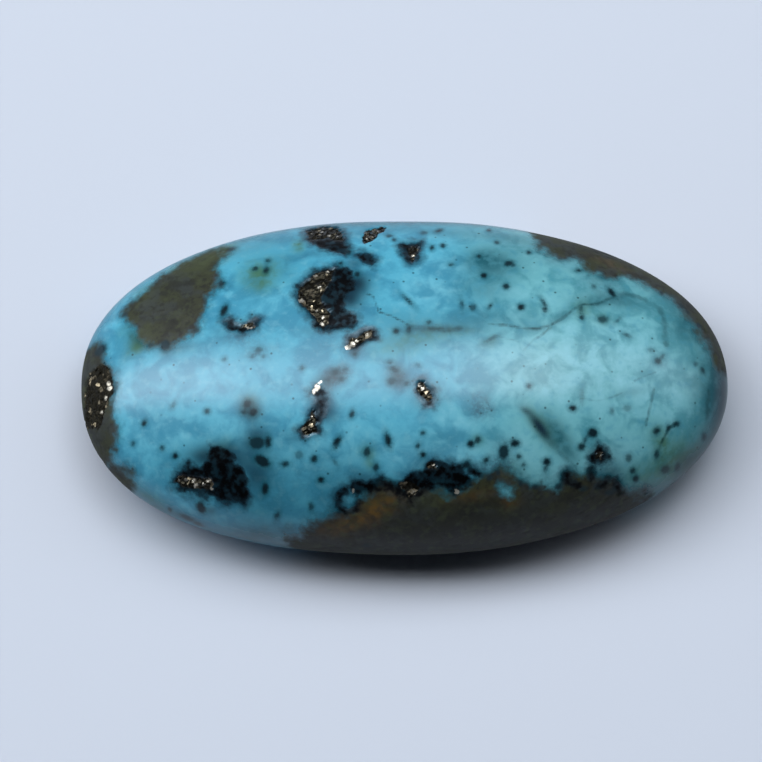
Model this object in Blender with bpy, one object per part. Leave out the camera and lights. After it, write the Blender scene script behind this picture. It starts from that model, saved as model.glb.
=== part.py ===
"""Polished turquoise nugget: one natural stone, domed on top, rounded under and ground flat to stand.

Units are metres and +Z is up. The stone's length runs along X and its width along Y. The origin is
the middle of the flat back, so the stone rests on the plane Z = 0.
"""

from math import cos, pi, sin, sqrt

import bmesh
import bpy

# Driving dimensions, in metres
LENGTH = 0.0300
WIDTH = 0.0159
HEIGHT = 0.0075
GIRDLE_HEIGHT = 0.0025  # the stone's widest line stands this far above its back
BACK_INSET = 0.0020  # the edge of the flat back lies this far inside the widest line

# 0 makes the dome half an ellipsoid, more makes it fuller at the shoulders, and less draws it in
# to a rounder crest
SHOULDER_FULLNESS = -0.25
CREST_OFFSET = 0.00135  # the crest runs this far to the -Y side of the middle

# Hand grinding leaves some corners of the oval fuller than others. In plan each quarter is a
# superellipse: a power of 2 makes it a plain ellipse, and a greater power makes its corner squarer.
# Left is the -X end, right the +X end, near the -Y side and far the +Y side.
FAR_LEFT_POWER = 2.20
FAR_RIGHT_POWER = 2.15
NEAR_LEFT_POWER = 2.35
NEAR_RIGHT_POWER = 2.05

# How finely the curved faces are cut
SEGMENTS = 96
DOME_RINGS = 22
EDGE_RINGS = 10

STONE_COLOUR = (0.12, 0.43, 0.53, 1.0)
STONE_ROUGHNESS = 0.18


def clear_scene():
    """Removes every object, so that the scene holds the stone alone."""
    for old in list(bpy.data.objects):
        bpy.data.objects.remove(old, do_unlink=True)


def corner_power(along, across):
    """The power of the quarter of the oval that a direction points into."""
    if across > 0:
        return FAR_LEFT_POWER if along < 0 else FAR_RIGHT_POWER
    return NEAR_LEFT_POWER if along < 0 else NEAR_RIGHT_POWER


def uneven_oval(turn, reach):
    """A point of the oval in plan. reach is 0 on top of the dome and 1 on the widest line.

    The corners are fullest on the widest line and fade to a plain ellipse at the top.
    """
    along = cos(turn)
    across = sin(turn)
    power = 2 + (corner_power(along, across) - 2) * reach**2
    fullness = (abs(along) ** power + abs(across) ** power) ** (-1 / power)
    return LENGTH / 2 * reach * fullness * along, WIDTH / 2 * reach * fullness * across


def ring_points(reach, height, inset):
    """One closed ring of points at one height, drawn in from the oval of that reach by inset."""
    points = []
    for step in range(SEGMENTS):
        x, y = uneven_oval(2 * pi * step / SEGMENTS, reach)
        y -= CREST_OFFSET * (1 - reach**2)
        x *= 1 - inset / (LENGTH / 2)
        y *= 1 - inset / (WIDTH / 2)
        points.append((x, y, height))
    return points


def dome_height(reach):
    """The dome is an ellipse in section, drawn in at its shoulders."""
    inside = (1 - reach**2) * (1 + SHOULDER_FULLNESS * reach**2)
    return GIRDLE_HEIGHT + (HEIGHT - GIRDLE_HEIGHT) * sqrt(max(inside, 0.0))


def stone_rings():
    """Every ring from just below the top of the dome down to the edge of the flat back."""
    rings = []
    for step in range(1, DOME_RINGS + 1):
        reach = sin(pi / 2 * step / DOME_RINGS)
        rings.append(ring_points(reach, dome_height(reach), 0.0))
    for step in range(1, EDGE_RINGS + 1):
        angle = pi / 2 * step / EDGE_RINGS
        inset = BACK_INSET * (1 - cos(angle))
        height = GIRDLE_HEIGHT * (1 - sin(angle))
        rings.append(ring_points(1.0, height, inset))
    return rings


def skin_rings(bm, rings):
    """Joins the rings with faces, closes the top with a fan and the back with one flat face."""
    loops = [[bm.verts.new(point) for point in ring] for ring in rings]
    top = bm.verts.new((0.0, -CREST_OFFSET, HEIGHT))
    for step in range(SEGMENTS):
        following = (step + 1) % SEGMENTS
        bm.faces.new((top, loops[0][step], loops[0][following]))
        for upper, lower in zip(loops, loops[1:]):
            bm.faces.new((upper[step], lower[step], lower[following], upper[following]))
    bm.faces.new(reversed(loops[-1]))
    bmesh.ops.triangulate(bm, faces=[face for face in bm.faces if len(face.verts) == 4])


def stone_material():
    """Polished turquoise, sky blue with a soft gloss."""
    material = bpy.data.materials.new("turquoise")
    material.use_nodes = True
    shader = material.node_tree.nodes["Principled BSDF"]
    shader.inputs["Base Color"].default_value = STONE_COLOUR
    shader.inputs["Roughness"].default_value = STONE_ROUGHNESS
    shader.inputs["Metallic"].default_value = 0.0
    return material


def make_stone():
    """The whole stone as one closed body."""
    bm = bmesh.new()
    skin_rings(bm, stone_rings())
    mesh = bpy.data.meshes.new("turquoise_stone")
    bm.to_mesh(mesh)
    bm.free()
    mesh.materials.append(stone_material())
    mesh.shade_smooth()
    mesh.set_sharp_from_angle(angle=pi / 6)
    stone = bpy.data.objects.new("turquoise_stone", mesh)
    bpy.context.scene.collection.objects.link(stone)
    return stone


clear_scene()
make_stone()
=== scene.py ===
# %% [markdown]
# # A polished turquoise nugget
#
# The object is one natural stone, 30 mm long. It was ground by hand to an uneven oval with a domed top
# and a flat back, and then polished. Sky blue turquoise grew in cracks of a brown and grey host rock, so
# the rock still shows at both ends, on the shoulder and along the front. Black inclusions, pyrite that
# glints like brass, dark flecks and hair-thin veins are scattered through the blue.
#
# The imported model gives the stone's true size and its plain shape. This script makes the skin that is
# seen: the same shape on a fine grid, with relief, marks and colour.

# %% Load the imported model
import math

import bpy
import numpy as np
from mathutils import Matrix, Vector
from mathutils.bvhtree import BVHTree


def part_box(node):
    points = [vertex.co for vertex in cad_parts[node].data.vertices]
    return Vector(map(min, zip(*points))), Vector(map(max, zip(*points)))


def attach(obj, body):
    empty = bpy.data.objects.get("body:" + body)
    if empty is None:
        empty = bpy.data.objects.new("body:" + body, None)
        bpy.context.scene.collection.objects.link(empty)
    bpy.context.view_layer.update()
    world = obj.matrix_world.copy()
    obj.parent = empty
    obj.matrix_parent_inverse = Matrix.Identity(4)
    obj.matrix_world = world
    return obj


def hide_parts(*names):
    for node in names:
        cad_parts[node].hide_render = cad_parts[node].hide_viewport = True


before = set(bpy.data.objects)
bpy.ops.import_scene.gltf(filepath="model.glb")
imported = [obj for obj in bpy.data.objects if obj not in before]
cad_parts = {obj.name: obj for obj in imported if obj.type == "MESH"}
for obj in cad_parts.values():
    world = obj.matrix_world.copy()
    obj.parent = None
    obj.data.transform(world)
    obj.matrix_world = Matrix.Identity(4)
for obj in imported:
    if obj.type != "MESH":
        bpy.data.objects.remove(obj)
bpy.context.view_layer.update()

MM = 0.001  # the stone is worked out in millimetres, and Blender holds metres

low_corner, high_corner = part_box("turquoise_stone")
LENGTH, WIDTH, HEIGHT = (high_corner - low_corner) / MM
print(f"the stone is {LENGTH:.1f} x {WIDTH:.1f} x {HEIGHT:.1f} mm")

# %% [markdown]
# ## The camera
#
# A stone on a table is usually seen from above and a little in front. A long lens, far away, keeps the
# oval from bulging. The camera stands 75 degrees above the table and looks along +Y.

# %% Camera
CAMERA_ELEVATION = math.radians(75)
CAMERA_DISTANCE = 300.0
FRAME_PIXELS = 762  # the frame is square
STONE_PIXELS = 647.4  # the stone's length in the frame
MIDDLE_SEEN_AT = (404.5, 386.7)  # where the frame shows the middle of the stone's widest line
SENSOR_WIDTH = 36.0
GIRDLE_HEIGHT = 2.5  # the widest line stands this far above the back

PIXEL = LENGTH / STONE_PIXELS
FRAME_MIDDLE = FRAME_PIXELS / 2
CAMERA_RIGHT = np.array([1.0, 0.0, 0.0])
CAMERA_UP = np.array([0.0, math.sin(CAMERA_ELEVATION), math.cos(CAMERA_ELEVATION)])
CAMERA_BACK = np.array([0.0, -math.cos(CAMERA_ELEVATION), math.sin(CAMERA_ELEVATION)])
AIM_X = (FRAME_MIDDLE - MIDDLE_SEEN_AT[0]) * PIXEL
AIM_Y = (MIDDLE_SEEN_AT[1] - FRAME_MIDDLE) * PIXEL / math.sin(CAMERA_ELEVATION)
AIM = np.array([AIM_X, AIM_Y, GIRDLE_HEIGHT])
CAMERA_PLACE = AIM + CAMERA_DISTANCE * CAMERA_BACK


def make_camera():
    """The camera sits on a line that rises from the aim point towards -Y, and looks back down it."""
    camera_data = bpy.data.cameras.new("camera")
    camera_data.sensor_width = SENSOR_WIDTH
    camera_data.lens = SENSOR_WIDTH * CAMERA_DISTANCE / (FRAME_PIXELS * PIXEL)
    camera_data.clip_start = 0.01
    camera = bpy.data.objects.new("camera", camera_data)
    camera.location = Vector(CAMERA_PLACE * MM)
    camera.rotation_euler = (math.pi / 2 - CAMERA_ELEVATION, 0.0, 0.0)
    bpy.context.scene.collection.objects.link(camera)
    bpy.context.scene.camera = camera
    return camera


camera = make_camera()
print(f"camera: lens {camera.data.lens:.0f} mm, at {camera.location.z / MM:.0f} mm above the table")

# %% [markdown]
# ## Nodes as formulas
#
# A procedural material is a formula that is worked out at every point of a surface, and each of its
# nodes is one step. Each helper here adds one node and hands on its result, so that a material reads as
# a few lines of sums.

# %% Node helpers
def start_material(name):
    """A new material. The helpers below add their nodes to it until the next one is started."""
    global tree, shader
    made = bpy.data.materials.new(name)
    made.use_nodes = True
    tree = made.node_tree
    shader = tree.nodes["Principled BSDF"]
    return made


def add_node(kind, *inputs, **settings):
    """Adds a node. Each input is a number, a colour or another node's output, and None keeps its own."""
    made = tree.nodes.new(kind)
    for name, value in settings.items():
        setattr(made, name, value)
    for socket, value in zip(made.inputs, inputs):
        if isinstance(value, bpy.types.NodeSocket):
            tree.links.new(value, socket)
        elif value is not None:
            socket.default_value = value
    return made


def maths(operation, first, second):
    """One Math node."""
    return add_node("ShaderNodeMath", first, second, operation=operation).outputs[0]


def plus(first, second):
    """first + second."""
    return maths("ADD", first, second)


def times(first, second):
    """first × second."""
    return maths("MULTIPLY", first, second)


def larger(first, second):
    """The larger of two numbers."""
    return maths("MAXIMUM", first, second)


def vector_maths(operation, *inputs):
    """One Vector Math node, which works on three numbers at once."""
    return add_node("ShaderNodeVectorMath", *inputs, operation=operation).outputs[0]


def ramp(value, low, high, to_low=0.0, to_high=1.0):
    """The value taken from low..high to to_low..to_high, with soft ends. low may be above high."""
    made = add_node(
        "ShaderNodeMapRange", value, low, high, to_low, to_high, interpolation_type="SMOOTHSTEP"
    )
    return made.outputs[0]


def blend(factor, first, second):
    """Mixes two colours: first × (1 - factor) + second × factor."""
    made = tree.nodes.new("ShaderNodeMix")
    made.data_type = "RGBA"
    for index, value in ((0, factor), (6, first), (7, second)):
        if isinstance(value, bpy.types.NodeSocket):
            tree.links.new(value, made.inputs[index])
        else:
            made.inputs[index].default_value = (*value, 1.0) if index else value
    return made.outputs[2]


def layered(colour, *layers):
    """Lays colours over a first one, in order. Each layer is (share, colour)."""
    for share, over in layers:
        colour = blend(share, colour, over)
    return colour


# %% [markdown]
# ## Light and table
#
# One long softbox hangs over the stone, along its length. It shows as the straight pale band on the
# polish. The light is dimmer along both long edges of the box and towards its right end, so the box is
# built as a row of strips, each in four lengths. The rest of the room glows very faintly, which keeps
# the shadow deep.
# The table is a shallow bowl whose rim rises to a backdrop, so that no horizon shows from low down.
# Its paper is pale round the stone and is painted darker further out, a painted fall-off of light as
# in a dark room. Otherwise its glare would lie as a grey veil over the stone's dark rock.

# %% Light and table
LIGHT_HEIGHT = 0.50
LIGHT_COLOUR = (1.0, 1.04, 1.10)
# The box's four lengths from left to right, each (from, to) in metres along X
LIGHT_LENGTHS = ((-1.6, -0.25), (-0.25, 0.02), (0.02, 0.25), (0.25, 1.5))
# (from, to) in degrees off the vertical, seen from the stone, and the strip's brightness in its four
# lengths
LIGHT_STRIPS = (
    (3.0, 10.0, 2.4, 2.0, 1.1, 0.3),
    (10.0, 30.0, 8.1, 4.7, 5.6, 1.3),
    (30.0, 38.0, 2.7, 2.5, 4.9, 2.3),
    (38.0, 48.0, 0.4, 0.6, 0.7, 0.5),
)
PAPER_PALE = (0.56, 0.60, 0.67)
# far out the paper is painted dim: a painted fall-off of light, as in a dark room
PAPER_PAINTED_DIM = (0.20, 0.215, 0.245)
PAPER_ROUGHNESS = 0.9
PALE_RADIUS, DIM_RADIUS = 0.022, 0.22
FLAT_RADII = (0.02, 0.1, 0.3)  # rings of points on the flat part of the table
TABLE_RADIUS = 0.55
BACKDROP_HEIGHT = 0.9
BACKDROP_STEPS, TABLE_SEGMENTS = 24, 96
ROOM_COLOUR, ROOM_STRENGTH = (0.6, 0.7, 1.0, 1.0), 0.01


def make_light_strip(left, right, start, end, brightness):
    """A level rectangle of light between two angles. Its power is brightness times its area times pi."""
    near, far = (LIGHT_HEIGHT * math.tan(math.radians(angle)) for angle in (start, end))
    light_data = bpy.data.lights.new("softbox_strip", "AREA")
    light_data.shape = "RECTANGLE"
    light_data.size = right - left
    light_data.size_y = far - near
    light_data.energy = brightness * math.pi * (right - left) * (far - near)
    light_data.color = LIGHT_COLOUR
    light = bpy.data.objects.new("softbox_strip", light_data)
    light.location = ((left + right) / 2, (near + far) / 2, LIGHT_HEIGHT)
    bpy.context.scene.collection.objects.link(light)


def make_mesh_object(name, vertices, faces):
    """A new mesh object at the origin, shaded smooth."""
    mesh = bpy.data.meshes.new(name)
    mesh.from_pydata(vertices, [], faces)
    mesh.shade_smooth()
    piece = bpy.data.objects.new(name, mesh)
    bpy.context.scene.collection.objects.link(piece)
    return piece


def quads_between(levels):
    """Faces that join each closed ring of point numbers to the next ring."""
    after = np.roll(levels, -1, axis=1)
    return np.stack([levels[:-1], levels[1:], after[1:], after[:-1]], axis=-1).reshape(-1, 4)


def make_table():
    """A disc whose height is zero out to its radius and then climbs along a quarter circle."""
    bend = np.linspace(0.0, math.pi / 2, BACKDROP_STEPS)
    radius = np.concatenate([FLAT_RADII, TABLE_RADIUS + BACKDROP_HEIGHT * np.sin(bend)])
    height = np.concatenate([np.zeros(len(FLAT_RADII)), BACKDROP_HEIGHT * (1 - np.cos(bend))])
    turn = np.arange(TABLE_SEGMENTS) * 2 * math.pi / TABLE_SEGMENTS
    x, y = np.outer(radius, np.cos(turn)), np.outer(radius, np.sin(turn))
    z = np.outer(height, np.ones(TABLE_SEGMENTS))
    levels = np.arange(x.size).reshape(x.shape)
    faces = quads_between(levels).tolist() + [levels[0].tolist()]
    return make_mesh_object("table", np.stack([x, y, z], axis=-1).reshape(-1, 3), faces)


def table_paper():
    """Matt paper, painted from pale to dim with the distance from the stone, as light falls off."""
    paper = start_material("table_paper")
    place = add_node("ShaderNodeTexCoord").outputs["Object"]
    distance = add_node("ShaderNodeVectorMath", place, operation="LENGTH").outputs["Value"]
    # painted fall-off of light: the paper is darker further from the stone
    colour = blend(ramp(distance, PALE_RADIUS, DIM_RADIUS), PAPER_PALE, PAPER_PAINTED_DIM)
    tree.links.new(colour, shader.inputs["Base Color"])
    shader.inputs["Roughness"].default_value = PAPER_ROUGHNESS
    return paper


for start, end, *brightnesses in LIGHT_STRIPS:
    for (left, right), brightness in zip(LIGHT_LENGTHS, brightnesses):
        make_light_strip(left, right, start, end, brightness)
table = make_table()
table.data.materials.append(table_paper())
world = bpy.data.worlds.new("dim_room")
world.use_nodes = True
background = world.node_tree.nodes["Background"]
background.inputs["Color"].default_value = ROOM_COLOUR
background.inputs["Strength"].default_value = ROOM_STRENGTH
bpy.context.scene.world = world
bpy.context.scene.view_settings.view_transform = "Standard"
print(f"{len(LIGHT_STRIPS)} strips of light, table {2 * TABLE_RADIUS:.1f} m across")

# %% [markdown]
# ## The stone's shape
#
# The solid model draws the stone as rings round a middle. Rings crowd together at the top, so this skin
# uses a square grid instead, bent into the oval: every cell keeps about the same size, and small marks
# come out equally sharp everywhere. Below the widest line the skin goes on as rings, down the rounded
# edge and across the flat back. The shape's own formula is the one the solid model has.

# %% Shape
BACK_INSET = 2.0
SHOULDER_FULLNESS = -0.25
CREST_OFFSET = 1.35
# 2 makes a quarter of the oval a plain ellipse, and more makes its corner squarer
FAR_LEFT_POWER, FAR_RIGHT_POWER = 2.20, 2.15
NEAR_LEFT_POWER, NEAR_RIGHT_POWER = 2.35, 2.05

GRID_X, GRID_Y = 352, 190
EDGE_RINGS = 18
BACK_RINGS = 7


def uneven_oval(turn, reach):
    """Plan of the oval. Each quarter is a superellipse: the way out along a direction (c, s) is
    (|c|^n + |s|^n) to the power -1/n. Its power n fades to 2, an ellipse, with the square of reach."""
    along, across = np.cos(turn), np.sin(turn)
    far_power = np.where(along < 0, FAR_LEFT_POWER, FAR_RIGHT_POWER)
    near_power = np.where(along < 0, NEAR_LEFT_POWER, NEAR_RIGHT_POWER)
    power = 2 + (np.where(across > 0, far_power, near_power) - 2) * reach**2
    fullness = (np.abs(along) ** power + np.abs(across) ** power) ** (-1 / power)
    return LENGTH / 2 * reach * fullness * along, WIDTH / 2 * reach * fullness * across


def dome_point(turn, reach):
    """A point of the dome. Each ring moves to -Y by the crest offset times 1 - reach²."""
    x, y = uneven_oval(turn, reach)
    y = y - CREST_OFFSET * (1 - reach**2)
    inside = np.clip((1 - reach**2) * (1 + SHOULDER_FULLNESS * reach**2), 0.0, None)
    z = GIRDLE_HEIGHT + (HEIGHT - GIRDLE_HEIGHT) * np.sqrt(inside)
    return np.stack([x, y, z], axis=-1)


def dome_grid():
    """A square grid bent to a disc, p = u sqrt(1 - v²/2) and q = v sqrt(1 - u²/2), then set on the dome.

    The reach is 1.25 s - 0.25 s to the fifth, which crowds the grid where the dome turns steep.
    """
    v, u = np.meshgrid(np.linspace(-1, 1, GRID_Y + 1), np.linspace(-1, 1, GRID_X + 1), indexing="ij")
    p = u * np.sqrt(1 - v**2 / 2)
    q = v * np.sqrt(1 - u**2 / 2)
    span = np.minimum(np.hypot(p, q), 1.0)
    reach = 1.25 * span - 0.25 * span**5
    return dome_point(np.arctan2(q, p), reach).reshape(-1, 3)


def grid_numbers():
    """The vertex numbers of the grid's cells, and of its border, anticlockwise seen from above."""
    number = np.arange((GRID_X + 1) * (GRID_Y + 1)).reshape(GRID_Y + 1, GRID_X + 1)
    cells = np.stack([number[:-1, :-1], number[:-1, 1:], number[1:, 1:], number[1:, :-1]], axis=-1)
    border = np.concatenate([number[0, :-1], number[:-1, -1], number[-1, :0:-1], number[:0:-1, 0]])
    return cells.reshape(-1, 4), border


def edge_and_back(border_points):
    """Rings under the widest line: a quarter ellipse inwards and down, then shrinking flat on the back."""
    angle = np.linspace(0, math.pi / 2, EDGE_RINGS + 1)[1:, None]
    inset = BACK_INSET * (1 - np.cos(angle))
    x = border_points[:, 0] * (1 - inset / (LENGTH / 2))
    y = border_points[:, 1] * (1 - inset / (WIDTH / 2))
    z = GIRDLE_HEIGHT * (1 - np.sin(angle)) * np.ones(len(border_points))
    shrink = np.linspace(1, 0, BACK_RINGS + 1)[1:-1, None]
    x = np.concatenate([x, x[-1] * shrink]).ravel()
    y = np.concatenate([y, y[-1] * shrink]).ravel()
    z = np.concatenate([z.ravel(), np.zeros(len(x) - z.size)])
    rings = np.stack([x, y, z], axis=-1)
    return np.concatenate([rings, [[0.0, 0.0, 0.0]]])


def ring_cells(border, first_number, rings):
    """Quads from ring to ring below the border, and the triangles that close the back."""
    around = len(border)
    levels = np.concatenate([[border], first_number + np.arange(rings * around).reshape(rings, around)])
    middle = np.full(around, first_number + rings * around)
    fan = np.stack([levels[-1], middle, np.roll(levels[-1], -1)], axis=-1)
    return quads_between(levels), fan


top_points = dome_grid()
cells, border = grid_numbers()
lower_points = edge_and_back(top_points[border])
quads, fan = ring_cells(border, len(top_points), EDGE_RINGS + BACK_RINGS - 1)
points = np.concatenate([top_points, lower_points])
stone = make_mesh_object("turquoise", points * MM, cells.tolist() + quads.tolist() + fan.tolist())
triangles = 2 * (len(cells) + len(quads)) + len(fan)
print(f"the skin has {len(points)} points and {triangles} triangles")
normals = np.empty(len(points) * 3)
stone.data.vertex_normals.foreach_get("vector", normals)
normals = normals.reshape(-1, 3)
print(f"the top points {normals[len(top_points) // 2, 2]:+.2f} in Z and the back {normals[-1, 2]:+.2f}")


# %% [markdown]
# ## Where the marks lie
#
# Each mark is placed where the camera sees it, in pixels of its frame, x to the right and y down. The
# line of sight through a pixel meets the dome in one place, and that place is where the mark is laid,
# so it sits on the stone from every side. A painted picture would blur close up, and a noise would put
# the marks anywhere.

# %% Place marks on the dome
dome_tree = BVHTree.FromPolygons(top_points.tolist(), cells.tolist())


def seen_points(pixels):
    """Where the lines of sight through pixels meet the dome, or past it the level of its widest line."""
    offsets = (np.array(pixels, float) - FRAME_MIDDLE) * PIXEL
    rays = AIM + offsets[:, :1] * CAMERA_RIGHT - offsets[:, 1:] * CAMERA_UP - CAMERA_PLACE
    rays /= np.linalg.norm(rays, axis=1)[:, None]
    places = CAMERA_PLACE + rays * ((GIRDLE_HEIGHT - CAMERA_PLACE[2]) / rays[:, 2:])
    for number, ray in enumerate(rays):
        hit = dome_tree.ray_cast(Vector(CAMERA_PLACE), Vector(ray))[0]
        if hit is not None:
            places[number] = hit
    return places


def on_plan(outlines):
    """Outlines in pixels, laid on the dome and seen from straight above, in millimetres."""
    return [seen_points(outline)[:, :2] for outline in outlines]


crest = seen_points([MIDDLE_SEEN_AT])[0]
print(f"the middle of the frame's stone lies on the dome at {crest.round(2)} mm")

# %% [markdown]
# ## Depths in place of paint
#
# Each kind of mark is stored on the skin as one number per point: how deep inside the mark the point
# lies, in millimetres, and negative outside. The material turns that into a sharp or a soft edge at any
# distance. Nothing here is a colour yet.

# %% Helpers for depths and noise
FAR = -1.0  # a point further outside a mark than this counts as this far
SMALL_MARKS_DOWN_TO = 0.45 * GIRDLE_HEIGHT
# The back has its own rock. It shows in full up to the first height and is gone at the second
BACK_ROCK_FULL, BACK_ROCK_GONE = 0.3, 1.8


def lattice_noise(places, cell, seed):
    """Smooth noise from 0 to 1: random values on a cubic lattice, blended by 3f² - 2f³ on each axis."""
    side = 64
    lattice = np.random.default_rng(seed).random((side, side, side))
    scaled = places / cell + side
    base = np.floor(scaled).astype(int)
    part = scaled - base
    weight = part * part * (3 - 2 * part)
    total = np.zeros(len(places))
    for corner in np.ndindex(2, 2, 2):
        index = (base + corner) % side
        share = np.prod(np.where(np.array(corner) == 1, weight, 1 - weight), axis=1)
        total += share * lattice[index[:, 0], index[:, 1], index[:, 2]]
    return total


def distance_to_runs(places, stops):
    """Distance from each place to the nearest straight run between one stop and the next."""
    nearest = np.full(len(places), -FAR)
    for start, end in zip(stops, stops[1:]):
        run = end - start
        along = np.clip((places - start) @ run / (run @ run), 0, 1)
        nearest = np.minimum(nearest, np.linalg.norm(places - start - along[:, None] * run, axis=1))
    return nearest


def depth_in_outline(plan, outline):
    """Distance to the outline's nearest side, positive inside by the even-odd rule, negative outside."""
    corners = np.array([*outline, outline[0]])
    depth = np.full(len(plan), FAR)
    close = np.all((plan > corners.min(0) + FAR) & (plan < corners.max(0) - FAR), axis=1)
    here = plan[close]
    inside = np.zeros(len(here), bool)
    for start, end in zip(corners, corners[1:]):
        side = end - start
        spans = (start[1] > here[:, 1]) != (end[1] > here[:, 1])
        # A level side spans nothing, and 1.0 only keeps it from dividing by zero
        crossing = start[0] + side[0] * (here[:, 1] - start[1]) / (side[1] or 1.0)
        inside ^= spans & (here[:, 0] < crossing)
    nearest = distance_to_runs(here, corners)
    depth[close] = np.where(inside, nearest, -nearest)
    return depth


def deepest(plan, outlines):
    """The greatest depth in any of several outlines."""
    return np.max([depth_in_outline(plan, outline) for outline in outlines], axis=0)


def oval_distance(x, y, half_length, half_width, angle=0):
    """Distance to an oval's middle, as a share of its half sizes. A step in height counts by half.

    The place and the sizes are in pixels, and the angle in degrees, anticlockwise from +X.
    """
    away = (points - seen_points([(x, y)])[0]) / PIXEL
    turn = math.radians(angle)
    along = away[:, 0] * math.cos(turn) + away[:, 1] * math.sin(turn)
    across = away[:, 1] * math.cos(turn) - away[:, 0] * math.sin(turn)
    lift = away[:, 2] / (2 * min(half_length, half_width))
    return np.sqrt((along / half_length) ** 2 + (across / half_width) ** 2 + lift**2)


def depth_in_oval(x, y, length, width=None, angle=0):
    """Depth in an oval: 1 - distance, times half its smaller size. Without a width it is round."""
    width = width or length
    return (1 - oval_distance(x, y, length / 2, width / 2, angle)) * min(length, width) / 2 * PIXEL


def store(name, values):
    """Writes one number per point of the skin, under a name that the material can read."""
    stone.data.attributes.new(name, "FLOAT", "POINT").data.foreach_set("value", values)


def wander(size, amount, seed):
    """The plan of every point, shifted by noise, so that a mark drawn with few points has a ragged edge."""
    shift = [lattice_noise(points, size, seed + axis) - 0.5 for axis in (0, 1)]
    return points[:, :2] + 2 * amount * np.stack(shift, axis=1)


on_top = points[:, 2] > SMALL_MARKS_DOWN_TO
under = np.clip((BACK_ROCK_GONE - points[:, 2]) / (BACK_ROCK_GONE - BACK_ROCK_FULL), 0, 1)
print(f"{np.mean(on_top):.0%} of the points can hold small marks, {np.mean(under > 0):.0%} the back's rock")

# %% [markdown]
# ## Host rock
#
# The brown and grey rock is what the turquoise grew in. It runs right through the stone, so its
# outlines count at every height. It shows as a patch on the left, a cap on the left tip, a band along
# the front and another on the far shoulder. Outlines that leave the oval are cut off by it.

# %% Host rock
HOST_ROCK = {
    "olive_patch": [
        (231, 248), (226, 246), (211, 249), (189, 260), (163, 273), (151, 288), (134, 300), (123, 313),
        (134, 325), (141, 338), (151, 345), (163, 343), (168, 350), (171, 342), (182, 338), (195, 328),
        (204, 313), (209, 297), (215, 286), (222, 284), (215, 269), (216, 259),
    ],
    "left_tip": [
        (68, 354), (97, 345), (104, 353), (103, 361), (110, 366), (115, 385), (112, 406), (117, 430),
        (114, 453), (110, 463), (77, 479), (55, 418),
    ],
    "left_foot": [(109, 462), (119, 464), (126, 470), (132, 480), (132, 486), (111, 516), (81, 491)],
    "front_band": [
        (266, 575), (290, 538), (301, 533), (307, 525), (333, 519), (349, 515), (361, 500), (373, 490),
        (388, 485), (401, 489), (413, 490), (426, 488), (440, 487), (449, 495), (471, 486), (479, 478),
        (492, 474), (503, 466), (510, 471), (520, 482), (530, 487), (544, 486), (560, 489), (567, 480),
        (573, 474), (578, 476), (590, 476), (602, 481), (618, 484), (625, 494), (650, 496), (676, 541),
        (599, 585),
    ],
    "shoulder_band": [
        (511, 208), (532, 233), (538, 240), (541, 248), (546, 246), (551, 252), (560, 257), (575, 256),
        (584, 264), (592, 272), (602, 273), (614, 279), (620, 275), (629, 278), (659, 290), (673, 296),
        (688, 315), (701, 327), (695, 330), (707, 342), (718, 372), (741, 375), (711, 262), (599, 200),
    ],
}
TURQUOISE_ISLAND = [(495, 486), (502, 483), (512, 490), (512, 497), (508, 499), (497, 492)]
# The camera doesn't see the back, so its rock is drawn on the plan, in millimetres
BACK_ROCK = {
    "foot": [
        (-9.0, -3.4), (-5.5, -4.6), (-1.0, -4.9), (2.6, -2.2), (1.2, 1.0), (-3.5, 2.1), (-8.0, 0.9),
        (-10.2, -1.0),
    ],
    "heel": [(4.8, 2.4), (8.5, 3.4), (11.0, 1.4), (9.8, -1.4), (6.6, -0.7)],
}
ragged_plan = wander(size=0.9, amount=0.16, seed=11)
rock = deepest(ragged_plan, on_plan(HOST_ROCK.values()))
rock = np.minimum(rock, -deepest(ragged_plan, on_plan([TURQUOISE_ISLAND])))
back_rock = deepest(wander(size=1.6, amount=0.5, seed=12), BACK_ROCK.values())
rock = np.where(under > 0, np.maximum(rock, back_rock - (1 - under)), rock)
store("rock", rock)
print(f"host rock covers {np.mean(rock > 0):.0%} of the points")

# %% [markdown]
# ## Black inclusions and pyrite
#
# Black mineral grew along the edge of the host rock and in nests in the blue. Pyrite grew in and on it:
# a brassy iron mineral that breaks into small flat faces. Both lie near the top, so they stop a little
# below the widest line. Long narrow ones are easier to draw as a line with a width than as an outline.

# %% Black inclusions and pyrite
BLACK = {
    "heart": [
        (296, 294), (298, 285), (314, 272), (325, 267), (336, 266), (345, 268), (352, 273), (354, 282),
        (352, 290), (346, 294), (345, 302), (348, 312), (356, 315), (358, 321), (353, 327), (322, 329),
        (315, 326), (313, 319), (303, 307),
    ],
    "top_bar": [
        (307, 240), (304, 231), (319, 227), (336, 227), (343, 234), (349, 249), (345, 255), (320, 247),
    ],
    "oval": [(356, 255), (361, 252), (369, 254), (375, 259), (372, 266)],
    "triangle": [(400, 244), (421, 241), (421, 249), (416, 259), (411, 262), (407, 259)],
    "slash": [(347, 344), (349, 337), (367, 328), (374, 328), (375, 337), (360, 343), (352, 349)],
    "bell": [(299, 431), (301, 437), (320, 434), (316, 424), (313, 408), (307, 424)],
    "drop": [(416, 389), (417, 381), (423, 381), (433, 389), (435, 398), (432, 406), (426, 404)],
    "wedge": [
        (172, 483), (178, 474), (189, 462), (194, 467), (203, 466), (212, 448), (229, 450), (233, 462),
        (244, 468), (250, 496), (245, 503), (219, 500), (200, 494), (184, 492),
    ],
    "seam": [
        (349, 488), (353, 481), (373, 483), (382, 478), (396, 487), (414, 474), (423, 471), (432, 458),
        (438, 462), (458, 466), (467, 464), (465, 475), (473, 483), (455, 494), (439, 484), (429, 489),
        (426, 497), (413, 505), (388, 494), (367, 494), (357, 495),
    ],
    "nut": [(598, 446), (605, 452), (608, 458), (603, 464), (594, 462), (592, 456)],
}
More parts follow.
